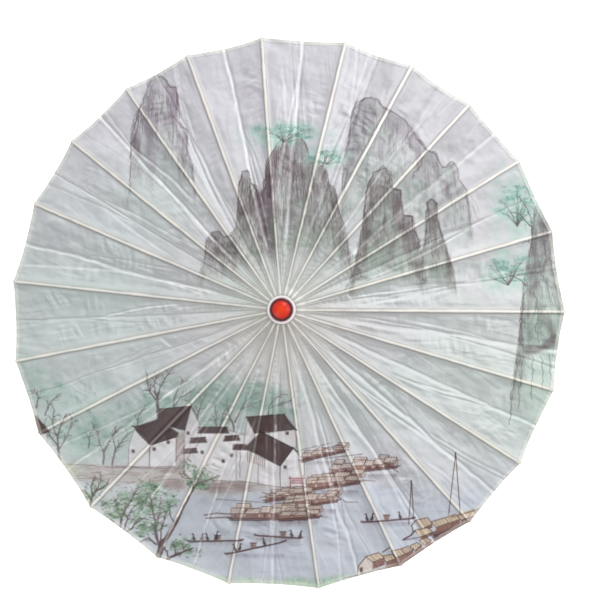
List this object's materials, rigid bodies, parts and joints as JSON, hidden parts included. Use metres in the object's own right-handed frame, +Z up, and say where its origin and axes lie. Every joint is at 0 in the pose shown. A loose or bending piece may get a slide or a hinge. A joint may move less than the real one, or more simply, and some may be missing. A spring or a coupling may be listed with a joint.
{
  "type": "parasol",
  "caption": "Folding parasol with a painted cloth canopy on split bamboo ribs and stretchers, a sliding runner on a wooden shaft and a round cap.",
  "frame": {"origin": "centre of the handle's flat end, on the shaft's axis", "axes": "+Z up along the shaft towards the cap; the first rib is along +Y, and ribs are numbered clockwise seen from above; the catch is on the -Y side"},
  "size_m": [0.8367, 0.8398, 0.5463],
  "materials": {
    "canopy_cloth": "printed translucent cloth",
    "bamboo": "split bamboo, oiled",
    "shaft_wood": "varnished",
    "hub_wood": "turned, matte",
    "white_plastic": "moulded",
    "dark_red_plastic": "moulded",
    "red_plastic": "moulded",
    "steel": "drawn wire"
  },
  "bodies": {
    "shaft_and_canopy": {"shaft": "shaft_wood", "catch_pin": "steel", "top_hub": "hub_wood", "top_hub_wire": "steel", "top_hub_pin": "shaft_wood", "cap_collar": "white_plastic", "cap_base": "dark_red_plastic", "cap_dome": "red_plastic", "handle_grip": "shaft_wood", "handle_pin": "shaft_wood", "handle_ferrule": "red_plastic", "handle_end_cap": "red_plastic", "canopy": "canopy_cloth"},
    "runner": {"runner": "hub_wood", "runner_wire": "steel"},
    "catch": {"catch": "steel"},
    "rib_01": {"rib_01": "bamboo"},
    "stretcher_01": {"stretcher_01": "bamboo"},
    "rib_02": {"rib_02": "bamboo"},
    "stretcher_02": {"stretcher_02": "bamboo"},
    "rib_03": {"rib_03": "bamboo"},
    "stretcher_03": {"stretcher_03": "bamboo"},
    "rib_04": {"rib_04": "bamboo"},
    "stretcher_04": {"stretcher_04": "bamboo"},
    "rib_05": {"rib_05": "bamboo"},
    "stretcher_05": {"stretcher_05": "bamboo"},
    "rib_06": {"rib_06": "bamboo"},
    "stretcher_06": {"stretcher_06": "bamboo"},
    "rib_07": {"rib_07": "bamboo"},
    "stretcher_07": {"stretcher_07": "bamboo"},
    "rib_08": {"rib_08": "bamboo"},
    "stretcher_08": {"stretcher_08": "bamboo"},
    "rib_09": {"rib_09": "bamboo"},
    "stretcher_09": {"stretcher_09": "bamboo"},
    "rib_10": {"rib_10": "bamboo"},
    "stretcher_10": {"stretcher_10": "bamboo"},
    "rib_11": {"rib_11": "bamboo"},
    "stretcher_11": {"stretcher_11": "bamboo"},
    "rib_12": {"rib_12": "bamboo"},
    "stretcher_12": {"stretcher_12": "bamboo"},
    "rib_13": {"rib_13": "bamboo"},
    "stretcher_13": {"stretcher_13": "bamboo"},
    "rib_14": {"rib_14": "bamboo"},
    "stretcher_14": {"stretcher_14": "bamboo"},
    "rib_15": {"rib_15": "bamboo"},
    "stretcher_15": {"stretcher_15": "bamboo"},
    "rib_16": {"rib_16": "bamboo"},
    "stretcher_16": {"stretcher_16": "bamboo"},
    "rib_17": {"rib_17": "bamboo"},
    "stretcher_17": {"stretcher_17": "bamboo"},
    "rib_18": {"rib_18": "bamboo"},
    "stretcher_18": {"stretcher_18": "bamboo"},
    "rib_19": {"rib_19": "bamboo"},
    "stretcher_19": {"stretcher_19": "bamboo"},
    "rib_20": {"rib_20": "bamboo"},
    "stretcher_20": {"stretcher_20": "bamboo"},
    "rib_21": {"rib_21": "bamboo"},
    "stretcher_21": {"stretcher_21": "bamboo"},
    "rib_22": {"rib_22": "bamboo"},
    "stretcher_22": {"stretcher_22": "bamboo"}
  },
  "joints": [
    {"name": "canopy_fold", "type": "hinge", "parent": "shaft_and_canopy", "child": "rib_01", "pos_m": [0, 0.015, 0.528], "axis": [-1, 0, 0], "range_deg": [0, 70.4], "deforming": ["canopy", "catch"]},
    {"name": "stretcher_01_pivot", "type": "hinge", "parent": "rib_01", "child": "stretcher_01", "pos_m": [0, 0.19542, 0.47466], "axis": [1, 0, 0], "range_deg": [0, 140.8]},
    {"name": "rib_02_fold", "type": "hinge", "parent": "shaft_and_canopy", "child": "rib_02", "pos_m": [0.00454, 0.0143, 0.528], "axis": [-0.9532, 0.3024, 0], "range_deg": [0, 70.4]},
    {"name": "stretcher_02_pivot", "type": "hinge", "parent": "rib_02", "child": "stretcher_02", "pos_m": [0.05909, 0.18627, 0.47466], "axis": [0.9532, -0.3024, 0], "range_deg": [0, 140.8]},
    {"name": "rib_03_fold", "type": "hinge", "parent": "shaft_and_canopy", "child": "rib_03", "pos_m": [0.00802, 0.01268, 0.528], "axis": [-0.8453, 0.5344, 0], "range_deg": [0, 70.4]},
    {"name": "stretcher_03_pivot", "type": "hinge", "parent": "rib_03", "child": "stretcher_03", "pos_m": [0.10442, 0.16518, 0.47466], "axis": [0.8453, -0.5344, 0], "range_deg": [0, 140.8]},
    {"name": "rib_04_fold", "type": "hinge", "parent": "shaft_and_canopy", "child": "rib_04", "pos_m": [0.01092, 0.01029, 0.528], "axis": [-0.6858, 0.7278, 0], "range_deg": [0, 70.4]},
    {"name": "stretcher_04_pivot", "type": "hinge", "parent": "rib_04", "child": "stretcher_04", "pos_m": [0.14222, 0.13402, 0.47466], "axis": [0.6858, -0.7278, 0], "range_deg": [0, 140.8]},
    {"name": "rib_05_fold", "type": "hinge", "parent": "shaft_and_canopy", "child": "rib_05", "pos_m": [0.01328, 0.00697, 0.528], "axis": [-0.4648, 0.8854, 0], "range_deg": [0, 70.4]},
    {"name": "stretcher_05_pivot", "type": "hinge", "parent": "rib_05", "child": "stretcher_05", "pos_m": [0.17302, 0.09084, 0.47466], "axis": [0.4648, -0.8854, 0], "range_deg": [0, 140.8]},
    {"name": "rib_06_fold", "type": "hinge", "parent": "shaft_and_canopy", "child": "rib_06", "pos_m": [0.01469, 0.00302, 0.528], "axis": [-0.2011, 0.9796, 0], "range_deg": [0, 70.4]},
    {"name": "stretcher_06_pivot", "type": "hinge", "parent": "rib_06", "child": "stretcher_06", "pos_m": [0.19143, 0.03929, 0.47466], "axis": [0.2011, -0.9796, 0], "range_deg": [0, 140.8]},
    {"name": "rib_07_fold", "type": "hinge", "parent": "shaft_and_canopy", "child": "rib_07", "pos_m": [0.01494, -0.00136, 0.528], "axis": [0.0906, 0.9959, 0], "range_deg": [0, 70.4]},
    {"name": "stretcher_07_pivot", "type": "hinge", "parent": "rib_07", "child": "stretcher_07", "pos_m": [0.19461, -0.01771, 0.47466], "axis": [-0.0906, -0.9959, 0], "range_deg": [0, 140.8]},
    {"name": "rib_08_fold", "type": "hinge", "parent": "shaft_and_canopy", "child": "rib_08", "pos_m": [0.01396, -0.0055, 0.528], "axis": [0.3665, 0.9304, 0], "range_deg": [0, 70.4]},
    {"name": "stretcher_08_pivot", "type": "hinge", "parent": "rib_08", "child": "stretcher_08", "pos_m": [0.18182, -0.07162, 0.47466], "axis": [-0.3665, -0.9304, 0], "range_deg": [0, 140.8]},
    {"name": "rib_09_fold", "type": "hinge", "parent": "shaft_and_canopy", "child": "rib_09", "pos_m": [0.01182, -0.00923, 0.528], "axis": [0.6157, 0.788, 0], "range_deg": [0, 70.4]},
    {"name": "stretcher_09_pivot", "type": "hinge", "parent": "rib_09", "child": "stretcher_09", "pos_m": [0.15399, -0.12031, 0.47466], "axis": [-0.6157, -0.788, 0], "range_deg": [0, 140.8]},
    {"name": "rib_10_fold", "type": "hinge", "parent": "shaft_and_canopy", "child": "rib_10", "pos_m": [0.00886, -0.0121, 0.528], "axis": [0.807, 0.5906, 0], "range_deg": [0, 70.4]},
    {"name": "stretcher_10_pivot", "type": "hinge", "parent": "rib_10", "child": "stretcher_10", "pos_m": [0.11542, -0.1577, 0.47466], "axis": [-0.807, -0.5906, 0], "range_deg": [0, 140.8]},
    {"name": "rib_11_fold", "type": "hinge", "parent": "shaft_and_canopy", "child": "rib_11", "pos_m": [0.00496, -0.01416, 0.528], "axis": [0.9438, 0.3305, 0], "range_deg": [0, 70.4]},
    {"name": "stretcher_11_pivot", "type": "hinge", "parent": "rib_11", "child": "stretcher_11", "pos_m": [0.06459, -0.18444, 0.47466], "axis": [-0.9438, -0.3305, 0], "range_deg": [0, 140.8]},
    {"name": "rib_12_fold", "type": "hinge", "parent": "shaft_and_canopy", "child": "rib_12", "pos_m": [0.00047, -0.01499, 0.528], "axis": [0.9995, 0.0314, 0], "range_deg": [0, 70.4]},
    {"name": "stretcher_12_pivot", "type": "hinge", "parent": "rib_12", "child": "stretcher_12", "pos_m": [0.00614, -0.19532, 0.47466], "axis": [-0.9995, -0.0314, 0], "range_deg": [0, 140.8]},
    {"name": "rib_13_fold", "type": "hinge", "parent": "shaft_and_canopy", "child": "rib_13", "pos_m": [-0.00436, -0.01435, 0.528], "axis": [0.9568, -0.2907, 0], "range_deg": [0, 70.4]},
    {"name": "stretcher_13_pivot", "type": "hinge", "parent": "rib_13", "child": "stretcher_13", "pos_m": [-0.05681, -0.18698, 0.47466], "axis": [-0.9568, 0.2907, 0], "range_deg": [0, 140.8]},
    {"name": "rib_14_fold", "type": "hinge", "parent": "shaft_and_canopy", "child": "rib_14", "pos_m": [-0.00808, -0.01264, 0.528], "axis": [0.8425, -0.5388, 0], "range_deg": [0, 70.4]},
    {"name": "stretcher_14_pivot", "type": "hinge", "parent": "rib_14", "child": "stretcher_14", "pos_m": [-0.10529, -0.16463, 0.47466], "axis": [-0.8425, 0.5388, 0], "range_deg": [0, 140.8]},
    {"name": "rib_15_fold", "type": "hinge", "parent": "shaft_and_canopy", "child": "rib_15", "pos_m": [-0.01149, -0.00964, 0.528], "axis": [0.6428, -0.766, 0], "range_deg": [0, 70.4]},
    {"name": "stretcher_15_pivot", "type": "hinge", "parent": "rib_15", "child": "stretcher_15", "pos_m": [-0.1497, -0.12561, 0.47466], "axis": [-0.6428, 0.766, 0], "range_deg": [0, 140.8]},
    {"name": "rib_16_fold", "type": "hinge", "parent": "shaft_and_canopy", "child": "rib_16", "pos_m": [-0.01398, -0.00542, 0.528], "axis": [0.3616, -0.9323, 0], "range_deg": [0, 70.4]},
    {"name": "stretcher_16_pivot", "type": "hinge", "parent": "rib_16", "child": "stretcher_16", "pos_m": [-0.18219, -0.07067, 0.47466], "axis": [-0.3616, 0.9323, 0], "range_deg": [0, 140.8]},
    {"name": "rib_17_fold", "type": "hinge", "parent": "shaft_and_canopy", "child": "rib_17", "pos_m": [-0.01493, -0.00141, 0.528], "axis": [0.0941, -0.9956, 0], "range_deg": [0, 70.4]},
    {"name": "stretcher_17_pivot", "type": "hinge", "parent": "rib_17", "child": "stretcher_17", "pos_m": [-0.19455, -0.01839, 0.47466], "axis": [-0.0941, 0.9956, 0], "range_deg": [0, 140.8]},
    {"name": "rib_18_fold", "type": "hinge", "parent": "shaft_and_canopy", "child": "rib_18", "pos_m": [-0.01471, 0.00294, 0.528], "axis": [-0.1959, -0.9806, 0], "range_deg": [0, 70.4]},
    {"name": "stretcher_18_pivot", "type": "hinge", "parent": "rib_18", "child": "stretcher_18", "pos_m": [-0.19163, 0.03829, 0.47466], "axis": [0.1959, 0.9806, 0], "range_deg": [0, 140.8]},
    {"name": "rib_19_fold", "type": "hinge", "parent": "shaft_and_canopy", "child": "rib_19", "pos_m": [-0.01322, 0.00709, 0.528], "axis": [-0.4726, -0.8813, 0], "range_deg": [0, 70.4]},
    {"name": "stretcher_19_pivot", "type": "hinge", "parent": "rib_19", "child": "stretcher_19", "pos_m": [-0.17222, 0.09235, 0.47466], "axis": [0.4726, 0.8813, 0], "range_deg": [0, 140.8]},
    {"name": "rib_20_fold", "type": "hinge", "parent": "shaft_and_canopy", "child": "rib_20", "pos_m": [-0.01088, 0.01033, 0.528], "axis": [-0.6884, -0.7254, 0], "range_deg": [0, 70.4]},
    {"name": "stretcher_20_pivot", "type": "hinge", "parent": "rib_20", "child": "stretcher_20", "pos_m": [-0.14175, 0.13452, 0.47466], "axis": [0.6884, 0.7254, 0], "range_deg": [0, 140.8]},
    {"name": "rib_21_fold", "type": "hinge", "parent": "shaft_and_canopy", "child": "rib_21", "pos_m": [-0.00764, 0.01291, 0.528], "axis": [-0.8607, -0.509, 0], "range_deg": [0, 70.4]},
    {"name": "stretcher_21_pivot", "type": "hinge", "parent": "rib_21", "child": "stretcher_21", "pos_m": [-0.09948, 0.16821, 0.47466], "axis": [0.8607, 0.509, 0], "range_deg": [0, 140.8]},
    {"name": "rib_22_fold", "type": "hinge", "parent": "shaft_and_canopy", "child": "rib_22", "pos_m": [-0.00413, 0.01442, 0.528], "axis": [-0.9613, -0.2756, 0], "range_deg": [0, 70.4]},
    {"name": "stretcher_22_pivot", "type": "hinge", "parent": "rib_22", "child": "stretcher_22", "pos_m": [-0.05386, 0.18785, 0.47466], "axis": [0.9613, 0.2756, 0], "range_deg": [0, 140.8]},
    {"name": "runner_travel", "type": "hinge", "parent": "stretcher_01", "child": "runner", "pos_m": [0, 0.015, 0.42132], "axis": [-1, 0, 0], "range_deg": [0, 70.4]},
    {"name": "catch_press", "type": "hinge", "parent": "shaft_and_canopy", "child": "catch", "pos_m": [0, -0.001, 0.35082], "axis": [-1, 0, 0], "range_deg": [0, 4.8], "stiffness_Nm_per_rad": 0.6}
  ],
  "couplings": [
    {"joint": "stretcher_01_pivot", "follows": "canopy_fold", "ratio": 2},
    {"joint": "rib_02_fold", "follows": "canopy_fold", "ratio": 1},
    {"joint": "stretcher_02_pivot", "follows": "canopy_fold", "ratio": 2},
    {"joint": "rib_03_fold", "follows": "canopy_fold", "ratio": 1},
    {"joint": "stretcher_03_pivot", "follows": "canopy_fold", "ratio": 2},
    {"joint": "rib_04_fold", "follows": "canopy_fold", "ratio": 1},
    {"joint": "stretcher_04_pivot", "follows": "canopy_fold", "ratio": 2},
    {"joint": "rib_05_fold", "follows": "canopy_fold", "ratio": 1},
    {"joint": "stretcher_05_pivot", "follows": "canopy_fold", "ratio": 2},
    {"joint": "rib_06_fold", "follows": "canopy_fold", "ratio": 1},
    {"joint": "stretcher_06_pivot", "follows": "canopy_fold", "ratio": 2},
    {"joint": "rib_07_fold", "follows": "canopy_fold", "ratio": 1},
    {"joint": "stretcher_07_pivot", "follows": "canopy_fold", "ratio": 2},
    {"joint": "rib_08_fold", "follows": "canopy_fold", "ratio": 1},
    {"joint": "stretcher_08_pivot", "follows": "canopy_fold", "ratio": 2},
    {"joint": "rib_09_fold", "follows": "canopy_fold", "ratio": 1},
    {"joint": "stretcher_09_pivot", "follows": "canopy_fold", "ratio": 2},
    {"joint": "rib_10_fold", "follows": "canopy_fold", "ratio": 1},
    {"joint": "stretcher_10_pivot", "follows": "canopy_fold", "ratio": 2},
    {"joint": "rib_11_fold", "follows": "canopy_fold", "ratio": 1},
    {"joint": "stretcher_11_pivot", "follows": "canopy_fold", "ratio": 2},
    {"joint": "rib_12_fold", "follows": "canopy_fold", "ratio": 1},
    {"joint": "stretcher_12_pivot", "follows": "canopy_fold", "ratio": 2},
    {"joint": "rib_13_fold", "follows": "canopy_fold", "ratio": 1},
    {"joint": "stretcher_13_pivot", "follows": "canopy_fold", "ratio": 2},
    {"joint": "rib_14_fold", "follows": "canopy_fold", "ratio": 1},
    {"joint": "stretcher_14_pivot", "follows": "canopy_fold", "ratio": 2},
    {"joint": "rib_15_fold", "follows": "canopy_fold", "ratio": 1},
    {"joint": "stretcher_15_pivot", "follows": "canopy_fold", "ratio": 2},
    {"joint": "rib_16_fold", "follows": "canopy_fold", "ratio": 1},
    {"joint": "stretcher_16_pivot", "follows": "canopy_fold", "ratio": 2},
    {"joint": "rib_17_fold", "follows": "canopy_fold", "ratio": 1},
    {"joint": "stretcher_17_pivot", "follows": "canopy_fold", "ratio": 2},
    {"joint": "rib_18_fold", "follows": "canopy_fold", "ratio": 1},
    {"joint": "stretcher_18_pivot", "follows": "canopy_fold", "ratio": 2},
    {"joint": "rib_19_fold", "follows": "canopy_fold", "ratio": 1},
    {"joint": "stretcher_19_pivot", "follows": "canopy_fold", "ratio": 2},
    {"joint": "rib_20_fold", "follows": "canopy_fold", "ratio": 1},
    {"joint": "stretcher_20_pivot", "follows": "canopy_fold", "ratio": 2},
    {"joint": "rib_21_fold", "follows": "canopy_fold", "ratio": 1},
    {"joint": "stretcher_21_pivot", "follows": "canopy_fold", "ratio": 2},
    {"joint": "rib_22_fold", "follows": "canopy_fold", "ratio": 1},
    {"joint": "stretcher_22_pivot", "follows": "canopy_fold", "ratio": 2},
    {"joint": "runner_travel", "follows": "canopy_fold", "ratio": 1}
  ]
}
